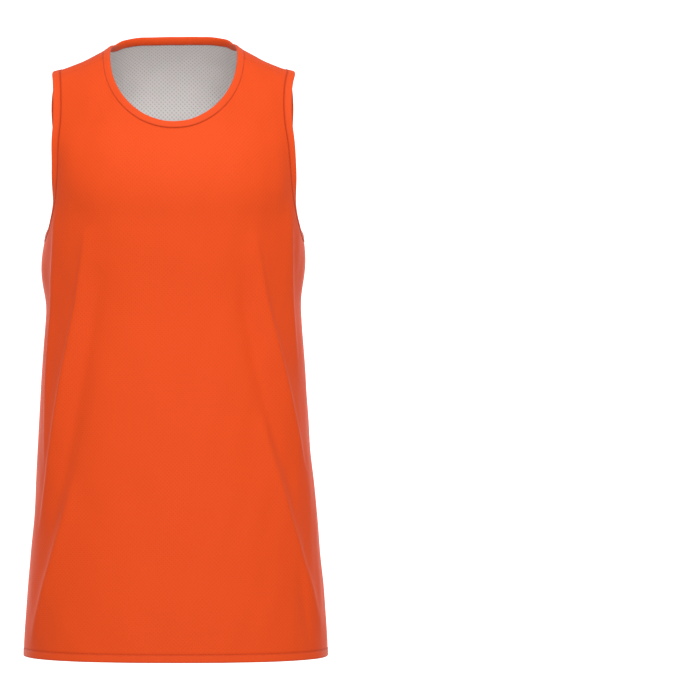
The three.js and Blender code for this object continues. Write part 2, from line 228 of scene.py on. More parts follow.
seams = {
    "hemHeight": -766,
    "labelBottom": -727,
    "labelTop": -686,
    "neckHalfWidth": 88.8,
    "neckSideHeight": -19,
    "neckFrontHeight": -110.5,
    "neckBackDepth": 60,
    "neckBackSquareness": 2.6,
    "armholeTop": -30.9,
    "armholeBottom": -251,
    "armholeMiddle": -147,
    "armholeHalfWidth": 68,
    "armholeTopSquareness": 2.0,
    "armholeBottomSquareness": 2.3,
    "armholeBackSet": 3,  # how far the top of the armhole lies behind the side seam
    "shoulderForwardAtArm": 24,
}


def signedPower(value, power):
    return np.sign(value) * np.abs(value) ** power


def pointRows(x, y, z):
    return np.stack(np.broadcast_arrays(np.asarray(x, float), y, z), axis=1)


def frontNeckAt(share):
    angle = np.pi * (share - 0.5)
    x = seams["neckHalfWidth"] * np.sin(angle)
    side = seams["neckSideHeight"]
    z = side + (seams["neckFrontHeight"] - side) * np.cos(angle)
    return meetBody(pointRows(x, 0.0, z), np.array([0.0, -1.0, 0.0]))


neckCorner = frontNeckAt(np.array([1.0]))[0]


def backNeckAt(share):
    angle = np.pi * (share - 0.5)
    power = 2 / seams["neckBackSquareness"]
    x = neckCorner[0] * signedPower(np.sin(angle), power)
    y = neckCorner[1] + (seams["neckBackDepth"] - neckCorner[1]) * np.maximum(np.cos(angle), 0) ** power
    return meetBody(pointRows(x, y, rays["startHeight"]), np.array([0.0, 0.0, 1.0]))


def armholeAt(side, angle):
    upper = np.cos(angle) > 0
    power = 2 / np.where(upper, seams["armholeTopSquareness"], seams["armholeBottomSquareness"])
    rise = signedPower(np.cos(angle), power)
    backSet = seams["armholeBackSet"] * (1 + np.cos(angle)) / 2
    y = seams["armholeHalfWidth"] * signedPower(np.sin(angle), power) + backSet
    middle = seams["armholeMiddle"]
    reach = np.where(upper, seams["armholeTop"] - middle, middle - seams["armholeBottom"])
    starts = pointRows(side * rays["startOut"], y, middle + rise * reach)
    return meetBody(starts, np.array([float(side), 0.0, 0.0]))


seamForward = seams["shoulderForwardAtArm"] + seams["armholeBackSet"]
seamForwardShare = seamForward / seams["armholeHalfWidth"]
seamAngle = -math.asin(seamForwardShare ** (seams["armholeTopSquareness"] / 2))


curveSamples = 721


def lengthsAlong(points):
    return np.concatenate([[0], np.cumsum(np.linalg.norm(np.diff(points, axis=0), axis=1))])


def readAlong(points, keys, at):
    return np.stack([np.interp(at, keys, points[:, axis]) for axis in range(3)], axis=1)


def evenCurve(curveAt):  # the same curve, read at equal steps along its length
    dense = curveAt(np.linspace(0, 1, curveSamples))
    lengths = lengthsAlong(dense)
    shares = lengths / lengths[-1]
    return lambda share: readAlong(dense, shares, share)


def armholeHalf(side, facing):
    start = facing * math.pi
    return evenCurve(lambda share: armholeAt(side, start + (seamAngle - start) * share))


def shoulderSeam(side):
    tip = armholeAt(side, np.array([seamAngle]))[0]
    corner = neckCorner * np.array([side, 1, 1])

    def rise(share):
        start = tip + (corner - tip) * share[:, None]
        start[:, 2] = rays["startHeight"]
        return meetBody(start, np.array([0.0, 0.0, 1.0]))

    return evenCurve(rise)


# Panels: a net of cloth between the seam lines, coarse first and then as fine as asked

net = {
    "shoulderSteps": 4,
    "neckSteps": 18,
    "sideSteps": 10,
    "armholeSteps": 12,
    "relaxRounds": 120,
    "fineRows": 5,  # fine steps in each coarse one
    "fineColumns": 10,
    "edgeSteps": (0.012, 0.025, 0.05, 0.1),  # extra lines beside a seam, in coarse steps
}
columns = 2 * net["shoulderSteps"] + net["neckSteps"]
seamRows = net["sideSteps"] + 2
rows = seamRows + net["armholeSteps"]
sideLevels = np.concatenate([
    [seams["hemHeight"], seams["labelBottom"]],
    np.linspace(seams["labelTop"], seams["armholeBottom"], net["sideSteps"] + 1),
])


def hemAt(facing):
    z = seams["hemHeight"]
    depth = bodyColumns["frontDepth" if facing < 0 else "backDepth"](z)
    power = 2 / bodyColumns["squareness"](z)
    centre = float(bodyColumns["sideways"](z))

    def read(column):
        angle = np.pi * (column / columns - 0.5)
        x = bodyColumns["halfWidth"](z) * signedPower(np.sin(angle), power)
        y = facing * depth * np.maximum(np.cos(angle), 0) ** power
        direction = pointRows(x, y, 0.0)
        direction /= np.linalg.norm(direction, axis=1, keepdims=True)
        return meetBody(pointRows(np.full(len(x), centre), 0.0, float(z)), direction)

    return read


def sideEdge(side, facing):
    armhole = armholeHalf(side, facing)

    def read(row):
        level = np.interp(row, np.arange(seamRows + 1), sideLevels)
        seam = meetBody(pointRows(np.zeros(len(row)), 0.0, level), np.array([float(side), 0.0, 0.0]))
        edge = armhole(np.clip((row - seamRows) / net["armholeSteps"], 0, 1))
        return np.where((row <= seamRows)[:, None], seam, edge)

    return read


def topEdge(facing):
    neck = evenCurve(frontNeckAt if facing < 0 else backNeckAt)
    seamsBySide = {side: shoulderSeam(side) for side in (-1, 1)}
    first = net["shoulderSteps"]
    last = first + net["neckSteps"]

    def read(column):
        left = seamsBySide[-1](np.clip(column / first, 0, 1))
        right = seamsBySide[1](np.clip((columns - column) / first, 0, 1))
        middle = neck(np.clip((column - first) / net["neckSteps"], 0, 1))
        at = column[:, None]
        return np.where(at < first, left, np.where(at > last, right, middle))

    return read


def settleNet(grid, rounds=10):
    return settle(grid.reshape(-1, 3), rounds).reshape(grid.shape)


def coarseNet(edges):
    u = (np.arange(columns + 1) / columns)[None, :, None]
    v = (np.arange(rows + 1) / rows)[:, None, None]
    bottom, top = (edges[name](np.arange(columns + 1.0))[None] for name in ("bottom", "top"))
    left, right = (edges[name](np.arange(rows + 1.0))[:, None] for name in ("left", "right"))
    grid = (1 - v) * bottom + v * top + (1 - u) * left + u * right
    grid -= (1 - u) * (1 - v) * bottom[:, :1] + u * (1 - v) * bottom[:, -1:]
    grid -= (1 - u) * v * top[:, :1] + u * v * top[:, -1:]
    grid = settleNet(grid)
    for _ in range(net["relaxRounds"]):
        inner = grid[:-2, 1:-1] + grid[2:, 1:-1] + grid[1:-1, :-2] + grid[1:-1, 2:]
        grid[1:-1, 1:-1] = settleNet(inner / 4, 1)
    return settleNet(grid)


def flatCut(grid):  # the panel laid flat with the least change of shape, in millimetres
    count = grid.shape[0] * grid.shape[1]
    number = np.arange(count).reshape(grid.shape[:2])
    a, b, c, d = number[:-1, :-1], number[:-1, 1:], number[1:, 1:], number[1:, :-1]
    halves = [np.stack(three, -1).reshape(-1, 3) for three in ((a, b, c), (a, c, d))]
    triangles = np.concatenate(halves)
    points = grid.reshape(-1, 3)
    first, second = (points[triangles[:, i]] - points[triangles[:, 0]] for i in (1, 2))
    x1 = np.linalg.norm(first, axis=1)
    x2 = (second * first).sum(1) / x1
    y2 = np.sqrt(np.maximum((second ** 2).sum(1) - x2 ** 2, 1e-9))
    weights = np.stack([(x2 - x1) + 1j * y2, -x2 - 1j * y2, x1 + 0j], 1) / np.sqrt(x1 * y2)[:, None]
    matrix = np.zeros((len(triangles), count), complex)
    matrix[np.arange(len(triangles))[:, None], triangles] = weights
    pins = [number[0, columns // 2], number[-1, columns // 2]]
    length = np.linalg.norm(np.diff(grid[:, columns // 2], axis=0), axis=1).sum()
    pinned = np.array([0, 1j * length])
    free = np.setdiff1d(np.arange(count), pins)
    system = matrix[:, free].conj().T
    flat = np.zeros(count, complex)
    flat[pins] = pinned
    flat[free] = np.linalg.solve(system @ matrix[:, free], -system @ (matrix[:, pins] @ pinned))
    corners = flat[triangles]
    across, along = (corners[:, i] - corners[:, 0] for i in (1, 2))
    flatArea = np.abs((across.conj() * along).imag).sum() / 2
    area = (x1 * y2).sum() / 2
    flat *= math.sqrt(area / flatArea)
    return np.stack([flat.real, flat.imag], 1).reshape(grid.shape[:2] + (2,)), area


def splineWeights(at, count):  # a smooth curve through evenly numbered points, read anywhere
    i = np.clip(np.floor(at).astype(int), 0, count - 2)
    t = at - i
    shares = np.stack([
        (-t + 2 * t ** 2 - t ** 3) / 2,
        (2 - 5 * t ** 2 + 3 * t ** 3) / 2,
        (t + 4 * t ** 2 - 3 * t ** 3) / 2,
        (-t ** 2 + t ** 3) / 2,
    ], 1)
    weights = np.zeros((len(at), count + 2))
    line = np.arange(len(at))
    for k in range(4):
        weights[line, i + k] += shares[:, k]
    inner = weights[:, 1:-1].copy()
    inner[:, 0] += 2 * weights[:, 0]
    inner[:, 1] -= weights[:, 0]
    inner[:, -1] += 2 * weights[:, -1]
    inner[:, -2] -= weights[:, -1]
    return inner


def readNet(coarse, rowPart, columnPart):
    return np.einsum("ri,ijk,cj->rck", rowPart, coarse, columnPart)


def fineNet(panel, rowList, columnList):
    rowPart = splineWeights(rowList, rows + 1)
    columnPart = splineWeights(columnList, columns + 1)
    grid = readNet(panel["coarse"], rowPart, columnPart)
    flat = readNet(panel["flat"], rowPart, columnPart)
    edges = panel["edges"]
    atColumn, atRow = columnList[None, :, None], rowList[:, None, None]
    for edge, near, fade in (("left", 0, atColumn), ("right", columns, columns - atColumn)):
        line = edges[edge](rowList)
        start = readNet(panel["coarse"], rowPart, splineWeights(np.array([float(near)]), columns + 1))
        grid += (line[:, None] - start) * np.clip(1 - fade, 0, 1) ** 2
    for edge, near, fade in (("bottom", 0, atRow), ("top", rows, rows - atRow)):
        line = edges[edge](columnList)
        place = np.argmin(np.abs(rowList - near))
        if abs(rowList[place] - near) > 1e-6:
            continue
        grid += (line - grid[place])[None] * np.clip(1 - fade, 0, 1) ** 2
    return settleNet(grid, 5), flat


def fineSteps(count, split):
    steps = np.arange(count * split + 1) / split
    extra = np.array(net["edgeSteps"])
    return np.unique(np.round(np.concatenate([steps, extra, count - extra]), 5))


def makePanel(facing):
    edges = {
        "bottom": hemAt(facing),
        "top": topEdge(facing),
        "left": sideEdge(-1, facing),
        "right": sideEdge(1, facing),
    }
    coarse = coarseNet(edges)
    flat, area = flatCut(coarse)
    panel = {"facing": facing, "edges": edges, "coarse": coarse, "flat": flat, "area": area}
    panel["rowList"] = fineSteps(rows, net["fineRows"])
    panel["columnList"] = fineSteps(columns, net["fineColumns"])
    panel["points"], panel["uv"] = fineNet(panel, panel["rowList"], panel["columnList"])
    shape = panel["points"].shape
    panel["outward"] = outwardAt(panel["points"].reshape(-1, 3)).reshape(shape)
    return panel


def edgeDistances(grid):  # to the panel's left, right, lower and upper edge, along its net
    across = np.linalg.norm(np.diff(grid, axis=1), axis=2)
    along = np.linalg.norm(np.diff(grid, axis=0), axis=2)
    left = np.concatenate([np.zeros((len(grid), 1)), np.cumsum(across, 1)], 1)
    bottom = np.concatenate([np.zeros((1, grid.shape[1])), np.cumsum(along, 0)], 0)
    return left, left[:, -1:] - left, bottom, bottom[-1:] - bottom


panels = {"front": makePanel(-1), "back": makePanel(1)}
for name, panel in panels.items():
    span = [round(float(v)) for v in np.ptp(panel["flat"].reshape(-1, 2), axis=0)]
    print(name, "cut", span, "mm, area", round(float(panel["area"]) / 1e6, 4), "m2")


# What sets the cloth's faces apart from the body form, in millimetres along the outward direction

layers = {
    "outerFaces": (0.0, -1.0),  # orange cloth
    "innerFaces": (-1.4, -2.4),  # white cloth
    "seamDip": 0.4,  # the cloth is pressed thinner beside a binding
    "seamDipWidth": 2.6,
    "joinedShare": 0.12,  # of that dip and of the painted seam shadow, where two panels are joined edge to edge
    "hemShare": 0.5,  # and at the hem
    "boundFrom": -0.2,  # coarse steps before a bound edge, where the deeper dip begins
    "seamOpen": 0.005,  # half of the space between two panels
    "waveCount": 14,  # soft unevenness of knitted cloth
    "waveRise": 0.10,
    "waveLengths": (26, 75),
    "waveStretch": (1, 1, 0.45),  # the waves are longest up and down the cloth
    "waveSeed": 11,
}


def makeWaves():
    random = np.random.default_rng(layers["waveSeed"])
    count = layers["waveCount"]
    direction = random.normal(size=(count, 3)) * layers["waveStretch"]
    direction /= np.linalg.norm(direction, axis=1, keepdims=True)
    lengths = random.uniform(*layers["waveLengths"], size=count)
    return direction * (2 * np.pi / lengths)[:, None], random.uniform(0, 2 * np.pi, size=count)


waveTurns, waveStarts = makeWaves()


def unevenness(points):
    flatPoints = points.reshape(-1, 3)
    waves = np.sin(flatPoints @ waveTurns.T + waveStarts).sum(1) * layers["waveRise"]
    return waves.reshape(points.shape[:-1])


def smoothStep(value, low, high):
    t = np.clip((value - low) / (high - low), 0, 1)
    return t * t * (3 - 2 * t)


def turnAt(points):  # the side and the turn of each point, as the folds are placed
    x, y, z = points[:, 0] - bodyColumns["sideways"](points[:, 2]), points[:, 1], points[:, 2]
    depth = np.where(y < 0, bodyColumns["frontDepth"](z), bodyColumns["backDepth"](z))
    power = bodyColumns["squareness"](z) / 2
    across = np.abs(x / bodyColumns["halfWidth"](z)) ** power
    quarter = np.degrees(np.arctan2(across, np.abs(y / depth) ** power))
    return np.where(x < 0, -1, 1), np.where(y < 0, quarter, 180 - quarter)


# Creases: the sharp crests on the folds. Each falls off softly towards the panel's middle and
# steeply on its outer side. Widths are in degrees of turn.
creases = table(
    "side top bottom turns rise inner outer fade",
    (-1, -205, -540, (64, 68.8, 66), 3.0, 3.6, 1.3, 0.7),
    (-1, -238, -620, (40, 52.2, 71), 4.2, 3.8, 1.1, 0.7),
    (-1, -550, -758, (42.5, 53, 69), 4.0, 3.4, 1.7, 0.7),
    (-1, -280, -620, (31.5, 42.3, 57.5), -3.0, 2.8, 3.4, 0.7),
    (1, -200, -420, (60, 64.5, 67), 2.4, 4.0, 1.4, 0.7),
    (1, -270, -560, (28, 35.7, 52), -2.9, 2.8, 3.4, 0.7),
    (1, -244, -550, (35.5, 49, 70), 4.2, 4.2, 1.1, 0.7),
    (1, -470, -738, (37.5, 48.5, 70), 4.2, 3.0, 1.5, 0.7),
    (1, -600, -780, (49, 54.5, 59), -1.8, 2.6, 1.6, 0.7),
    (-1, -240, -610, (132, 121, 104), 3.2, 5.0, 1.4, 0.7),
    (-1, -520, -748, (137, 127, 109), 2.6, 3.0, 2.4, 0.7),
    (-1, -215, -380, (112, 110, 104), 2.0, 3.6, 1.5, 0.7),
    (1, -235, -570, (136, 124, 106), 3.4, 4.6, 1.4, 0.7),
    (1, -460, -742, (140, 126, 107), 2.4, 3.4, 2.0, 0.7),
    (1, -220, -430, (110, 108, 102), 2.2, 3.8, 1.4, 0.7),
)


def creaseShape(crease, outside):
    width = np.where(outside < 0, crease["inner"], crease["outer"])
    return np.exp(1 - np.sqrt(1 + (outside / width) ** 2))


# The chest: the front stands out over its fullest part and falls back under it
chest = table(
    "height rise",
    (-450, 0),
    (-350, -0.8),
    (-290, -1.6),
    (-245, -2.1),
    (-222, -1.7),
    (-203, 0),
    (-188, 1.2),
    (-170, 1.5),
    (-140, 0.8),
    (-100, 0),
)
chestSpread = {
    "more": 0.7,  # how much more it stands out at both sides than at the centre
    "grows": (15, 40),  # degrees of turn
    "ends": (44, 66),
}
chestHeight = smoothColumn(chest, "height", "rise")


def chestRise(turn, height):
    share = 1 + chestSpread["more"] * smoothStep(turn, *chestSpread["grows"])
    return chestHeight(height) * (share * (1 - smoothStep(turn, *chestSpread["ends"])))


def clothRise(points):  # how far the cloth stands over the body form
    flatPoints = points.reshape(-1, 3)
    side, turn = turnAt(flatPoints)
    lift = foldRise(creases, side, turn, flatPoints[:, 2], creaseShape)
    lift += chestRise(turn, flatPoints[:, 2])
    return unevenness(points) + lift.reshape(points.shape[:-1])


sharpAngle = 50  # degrees between faces that meet at a crisp edge


def writeAttribute(mesh, name, kind, field, values):
    data = mesh.attributes.new(name, kind, "POINT").data
    data.foreach_set(field, values.astype(np.float32).ravel())


def meshPiece(name, points, faces, faceUvs, dipAndShadow, material):  # points and uvs in millimetres
    mesh = bpy.data.meshes.new(name)
    mesh.from_pydata(points * toMetres, [], faces)
    uvLayer = mesh.uv_layers.new(name="cut")
    uvLayer.data.foreach_set("uv", (faceUvs * toMetres).astype(np.float32).ravel())
    # The share goes with the mesh, for the painted seam shadow in its material
    writeAttribute(mesh, "dipAndShadow", "FLOAT", "value", dipAndShadow)
    mesh.polygons.foreach_set("use_smooth", np.ones(len(faces), bool))
    mesh.set_sharp_from_angle(angle=math.radians(sharpAngle))
    mesh.materials.append(material)
    mesh.validate()
    return placeInScene(name, mesh)


def gridFaces(height, width):
    number = np.arange(height * width).reshape(height, width)
    corners = (number[:-1, :-1], number[:-1, 1:], number[1:, 1:], number[1:, :-1])
    return np.stack(corners, -1).reshape(-1, 4)


def shell(name, over, under, uv, dipAndShadow, facing, material):  # a closed wall between two nets
    height, width = over.shape[:2]
    count = height * width
    face = gridFaces(height, width)
    number = np.arange(count).reshape(height, width)
    rim = np.concatenate([number[0, ::-1], number[1:, 0], number[-1, 1:], number[-2:0:-1, -1]])
    after = np.roll(rim, -1)
    rimFaces = np.stack([rim, after, after + count, rim + count], -1)
    faces = np.concatenate([face, face[:, ::-1] + count, rimFaces])
    if facing > 0:
        faces = faces[:, ::-1]
    points = np.concatenate([over.reshape(-1, 3), under.reshape(-1, 3)])
    uvs = np.concatenate([uv.reshape(-1, 2)] * 2)
    return meshPiece(name, points, faces, uvs[faces], np.concatenate([dipAndShadow, dipAndShadow]), material)


def offset(points, outward, distance):
    return points + outward * np.asarray(distance)[..., None]


def openSeams(panel):  # draws the panel's edges back a little from what they are sewn to
    grid = panel["points"].copy()
    space = layers["seamOpen"]
    for edge, inner in ((0, 1), (-1, -2)):
        for line, beside in ((grid[:, edge], grid[:, inner]), (grid[edge], grid[inner])):
            step = beside - line
            line += step / np.linalg.norm(step, axis=-1, keepdims=True) * space
    return grid


def dipAndShadowShare(panel):  # 1 at a bound edge, less where panels are joined, 0 on the open cloth; it sets the dip and the painted seam shadow
    rowList, columnList = panel["rowList"], panel["columnList"]
    joined, first = layers["joinedShare"], net["shoulderSteps"]
    side = smoothStep(rowList - seamRows, layers["boundFrom"], 0)[:, None]
    inNeck = columns / 2 - first - np.abs(columnList - columns / 2)
    neck = smoothStep(inNeck, layers["boundFrom"], 0)[None]
    hem = np.full((1, 1), layers["hemShare"])
    shares = []
    for distance, bound in zip(edgeDistances(panel["points"]), (side, side, hem, neck)):
        near = 1 - smoothStep(distance, 0, layers["seamDipWidth"])
        shares.append(near * (joined + (1 - joined) * bound))
    return np.max(shares, axis=0)


def clothLayer(name, panel, faceDepths, shownFace, material):
    dipAndShadow = dipAndShadowShare(panel)
    dip = layers["seamDip"] * dipAndShadow
    rise = clothRise(panel["points"])
    grid = openSeams(panel)
    over = rise + faceDepths[0] - (dip if shownFace == "over" else 0)
    under = rise + faceDepths[1] + (dip if shownFace == "under" else 0)
    overPoints = offset(grid, panel["outward"], over)
    underPoints = offset(grid, panel["outward"], under)
    return shell(name, overPoints, underPoints, panel["uv"], dipAndShadow, panel["facing"], material)


# Materials

def toLinear(hexColour):
    parts = [int(hexColour[i:i + 2], 16) / 255 for i in (1, 3, 5)]
    return [c / 12.92 if c <= 0.04045 else ((c + 0.055) / 1.055) ** 2.4 for c in parts] + [1]


def addNode(tree, kind, settings=None, links=None):
    node = tree.nodes.new(kind)
    for key, value in (settings or {}).items():
        if isinstance(key, int) or key in node.inputs.keys():
            node.inputs[key].default_value = value
        else:
            setattr(node, key, value)
    for key, source in (links or {}).items():  # a node stands for its first output
        socket = source if isinstance(source, bpy.types.NodeSocket) else source.outputs[0]
        tree.links.new(socket, node.inputs[key])
    return node


def newMaterial(name, look):
    material = bpy.data.materials.new(name)
    material.use_nodes = True
    tree = material.node_tree
    tree.nodes.clear()
    shader = addNode(tree, "ShaderNodeBsdfPrincipled", {
        "Roughness": look["roughness"],
        "Specular IOR Level": look["specular"],
        "Sheen Weight": look["sheen"],
        "Sheen Roughness": look["sheenRoughness"],
        "Sheen Tint": toLinear(look["sheenTint"]),
    })
    addNode(tree, "ShaderNodeOutputMaterial", links={"Surface": shader})
    return material, tree, shader


def cellPattern(tree, place, across, along):  # 1 and -1 in turn, in a staggered net of cells
    turns = addNode(tree, "ShaderNodeVectorMath", {
        "operation": "MULTIPLY", 1: (2 * math.pi / across, 2 * math.pi / along, 0),
    }, {0: place})
    waves = addNode(tree, "ShaderNodeVectorMath", {"operation": "COSINE"}, {0: turns})
    parts = addNode(tree, "ShaderNodeSeparateXYZ", links={0: waves}).outputs
    return addNode(tree, "ShaderNodeMath", {"operation": "MULTIPLY"}, {0: parts[0], 1: parts[1]})


def weighedSum(tree, start, parts):  # start and each part times its weight
    total = start
    for part, weight in parts:
        settings, links = {"operation": "MULTIPLY_ADD", 1: weight}, {0: part}
        if total is start:
            settings[2] = start
        else:
            links[2] = total
        total = addNode(tree, "ShaderNodeMath", settings, links)
    return total


loopHeight = 0.8  # of a knitted loop, as a share of its width


def knitMaterial(name, look):
    material, tree, shader = newMaterial(name, look)
    place = addNode(tree, "ShaderNodeUVMap", {"uv_map": "cut"})
    repeat, loop = look["dimpleRepeat"] * toMetres, look["loopWidth"] * toMetres
    cells = cellPattern(tree, place, repeat, repeat)
    # Painted shadow in the dimples: the colour turns towards the deep colour in each pit. The patches and
    # fuzz are random tone of the yarn.
    dimple = addNode(tree, "ShaderNodeMath", {"operation": "MAXIMUM", 1: 0.0}, {0: cells})
    pit = addNode(tree, "ShaderNodeMath", {"operation": "POWER", 1: look["dimplePower"]}, {0: dimple})
    loops = cellPattern(tree, place, loop, loop * loopHeight)
    patches, fuzz = (addNode(tree, "ShaderNodeTexNoise", {
        "noise_dimensions": "2D", "Scale": 1 / (size * toMetres), "Detail": 2.0,
    }, {"Vector": place}) for size in (look["patchSize"], look["fuzzSize"]))
    middle = -0.5 * (look["patchShade"] + look["fuzzShade"])
    toneAndShadow = weighedSum(tree, middle, [
        (pit, look["dimpleShade"]), (patches, look["patchShade"]), (fuzz, look["fuzzShade"]),
    ])
    yarn = addNode(tree, "ShaderNodeMix", {
        "data_type": "RGBA", 6: toLinear(look["colour"]), 7: toLinear(look["deepToneAndShadow"]),
    }, {0: toneAndShadow})
    # Painted seam shadow: the colour turns towards the seam colour where the share is high, beside the
    # seams and bindings and at the label's rim
    dipAndShadow = addNode(tree, "ShaderNodeAttribute", {"attribute_name": "dipAndShadow"}).outputs[2]
    shadow = addNode(tree, "ShaderNodeMath", {"operation": "MULTIPLY", 1: look["seamShadowStrength"]}, {0: dipAndShadow})
    colour = addNode(tree, "ShaderNodeMix", {"data_type": "RGBA", 7: toLinear(look["seamShadowColour"])}, {
        0: shadow, 6: yarn.outputs[2],
    })
    tree.links.new(colour.outputs[2], shader.inputs["Base Color"])
    height = weighedSum(tree, 0.0, [
        (loops, look["loopRise"]), (pit, -look["dimpleDepth"]), (fuzz, look["fuzzRise"]),
    ])
    bump = addNode(tree, "ShaderNodeBump", {"Distance": toMetres, "Strength": 1.0}, {"Height": height})
    tree.links.new(bump.outputs[0], shader.inputs["Normal"])
    return material


# What both mesh knits share. A yarn loop is too fine to show, so it is drawn 1.7 mm wide.
meshKnit = dict(
    specular=0.25, dimpleRepeat=5.1, loopWidth=1.7, patchSize=60, patchShade=0.15, fuzzSize=2.6,
    fuzzRise=0.03,
)
# In each look, the seam colour and its strength paint a shadow beside the seams.
# The deep colour is random tone, and also the painted shadow in the dimples.
looks = {
    # Warp-knitted polyester mesh, piece-dyed orange: matt, with small staggered dimples and a
    # peach-coloured bloom of fibre ends where it is seen at a slant.
    "orangeKnit": dict(
        meshKnit, colour="#F04F12", deepToneAndShadow="#DB430C", seamShadowColour="#B03204", seamShadowStrength=0.85,
        roughness=0.72, sheen=0.65, sheenRoughness=0.3, sheenTint="#FF9081",
        dimplePower=1.6, dimpleShade=0.42, dimpleDepth=0.10, loopRise=0.012, fuzzShade=0.35,
    ),
    # The same mesh undyed: clear grey shadows are painted into its dimples.
    "whiteKnit": dict(
        meshKnit, colour="#EAE7E5", deepToneAndShadow="#B2B1B3", seamShadowColour="#8C8C90", seamShadowStrength=0.6,
        roughness=0.78, sheen=0.25, sheenRoughness=0.5, sheenTint="#FFFFFF",
        dimplePower=1.5, dimpleShade=0.75, dimpleDepth=0.22, loopRise=0.02, fuzzShade=0.2,
    ),
    # Flat polyester interlock, cut as a strip: smooth, with fine wales that run around the edge.
    "bindingKnit": dict(
        colour="#F05016", deepToneAndShadow="#DB430C", seamShadowColour="#A82E04", seamShadowStrength=0.6, roughness=0.7,
        specular=0.25, sheen=0.25, sheenRoughness=0.35, sheenTint="#FFD8CC", dimpleRepeat=2.2,
        dimplePower=2.0, dimpleShade=0.12, dimpleDepth=0.02, loopWidth=0.9, loopRise=0.012,
        patchSize=40, patchShade=0.15, fuzzSize=1.8, fuzzShade=0.25, fuzzRise=0.02,
    ),
    # Woven damask label of grey polyester: close satin weave, faintly glossy.
    "wovenLabel": dict(
        colour="#5E6261", deepToneAndShadow="#4A4E4D", seamShadowColour="#3A3D3C", seamShadowStrength=0.5, roughness=0.48,
        specular=0.45, sheen=0.1, sheenRoughness=0.3, sheenTint="#C8CCCC", dimpleRepeat=1.6,
        dimplePower=1.0, dimpleShade=0.5, dimpleDepth=0.03, loopWidth=0.8, loopRise=0.03,
        patchSize=25, patchShade=0.2, fuzzSize=1.2, fuzzShade=0.2, fuzzRise=0.01,
    ),
    # Spun polyester sewing thread, dyed to the binding.
    "sewingThread": dict(
        colour="#F25A26", deepToneAndShadow="#D93A08", seamShadowColour="#8E2404", seamShadowStrength=0.0, roughness=0.5,
        specular=0.4, sheen=0.2, sheenRoughness=0.4, sheenTint="#FFD8CC", dimpleRepeat=0.8,
        dimplePower=1.0, dimpleShade=0.3, dimpleDepth=0.02, loopWidth=0.5, loopRise=0.02,
        patchSize=30, patchShade=0.2, fuzzSize=1.0, fuzzShade=0.2, fuzzRise=0.01,
    ),
}
finishes = {name: knitMaterial(name, look) for name, look in looks.items()}
print("materials made")


# The two layers of cloth

pieces = {}
for place, panel in panels.items():
    for layer, faceDepths, shownFace, finish in (
        ("outer", layers["outerFaces"], "over", "orangeKnit"),
        ("inner", layers["innerFaces"], "under", "whiteKnit"),
    ):
        node = f"{layer}_{place}"
        pieces[node] = clothLayer(f"{node}_cloth", panel, faceDepths, shownFace, finishes[finish])
print("cloth made")


# Bindings: a folded strip of knit around each edge

binding = {
    "top": 0.4,  # how far it stands over the cloth's outer face
    "bottom": -2.8,
    "neckWidth": 9,
    "armholeWidth": 10,
    "hemWidth": 10,
    "neckLean": 55,  # degrees that the free edge turns up at the back of the neck
    "armholeLean": 26,  # degrees that it stands out in front of the arm
    "armholeBackLean": 8,  # and behind it
    "armholeCurl": -60,  # degrees that it curls in at the lower part of the armhole
    "seamOver": 0.35,  # how far the strip laps over the seam line, on to the cloth
    "seamRadius": 0.5,
    # width of the painted seam shadow on the strip, from the seam line
    "seamShadowWidth": 1.2,
    "dome": 0.12,
    "stepLength": 3.2,
    "cornerPoints": 4,
    "flatPoints": 6,
    "edgePoints": 9,
    "curlHeights": (164, 234),  # how far under the origin the curl begins and is full
    "leanDepths": (15, 55),  # how far before and behind the side seam the lean begins and is full
    "seamPoints": {"neck": 200, "armhole": 160, "hem": 240},
}


def bindingSection(width):  # out from the seam and up from the cloth's outer face, all round
    top, bottom = binding["top"], binding["bottom"]
    middle, half = (top + bottom) / 2, (top - bottom) / 2
    radius, start = binding["seamRadius"], -binding["seamOver"]
    seamArc = np.radians(np.linspace(-90, 0, binding["cornerPoints"]))
    edgeArc = np.radians(np.linspace(-90, 90, binding["edgePoints"]))
    flats = np.linspace(start + radius, width - half, binding["flatPoints"])[1:-1]
    lowCorner = [
        (start + radius - radius * math.cos(a), bottom + radius + radius * math.sin(a))
        for a in seamArc[::-1]
    ]
    low = [(out, bottom) for out in flats]
    edge = [(width - half + half * math.cos(a), middle + half * math.sin(a)) for a in edgeArc]
    high = [(out, top) for out in flats[::-1]]
    highCorner = [
        (start + radius - radius * math.cos(a), top - radius - radius * math.sin(a)) for a in seamArc
    ]
    section = np.array(lowCorner + low + edge + high + highCorner)
    dome = binding["dome"] * np.sin(np.pi * np.clip(section[:, 0] / width, 0, 1))
    section[:, 1] += dome * np.sign(section[:, 1] - middle)
    return section


def evenLoop(points, stepLength):
    closed = np.concatenate([points, points[:1]])
    lengths = lengthsAlong(closed)
    count = int(round(lengths[-1] / stepLength))
    at = np.arange(count) / count * lengths[-1]
    return readAlong(closed, lengths, at), lengths[-1]


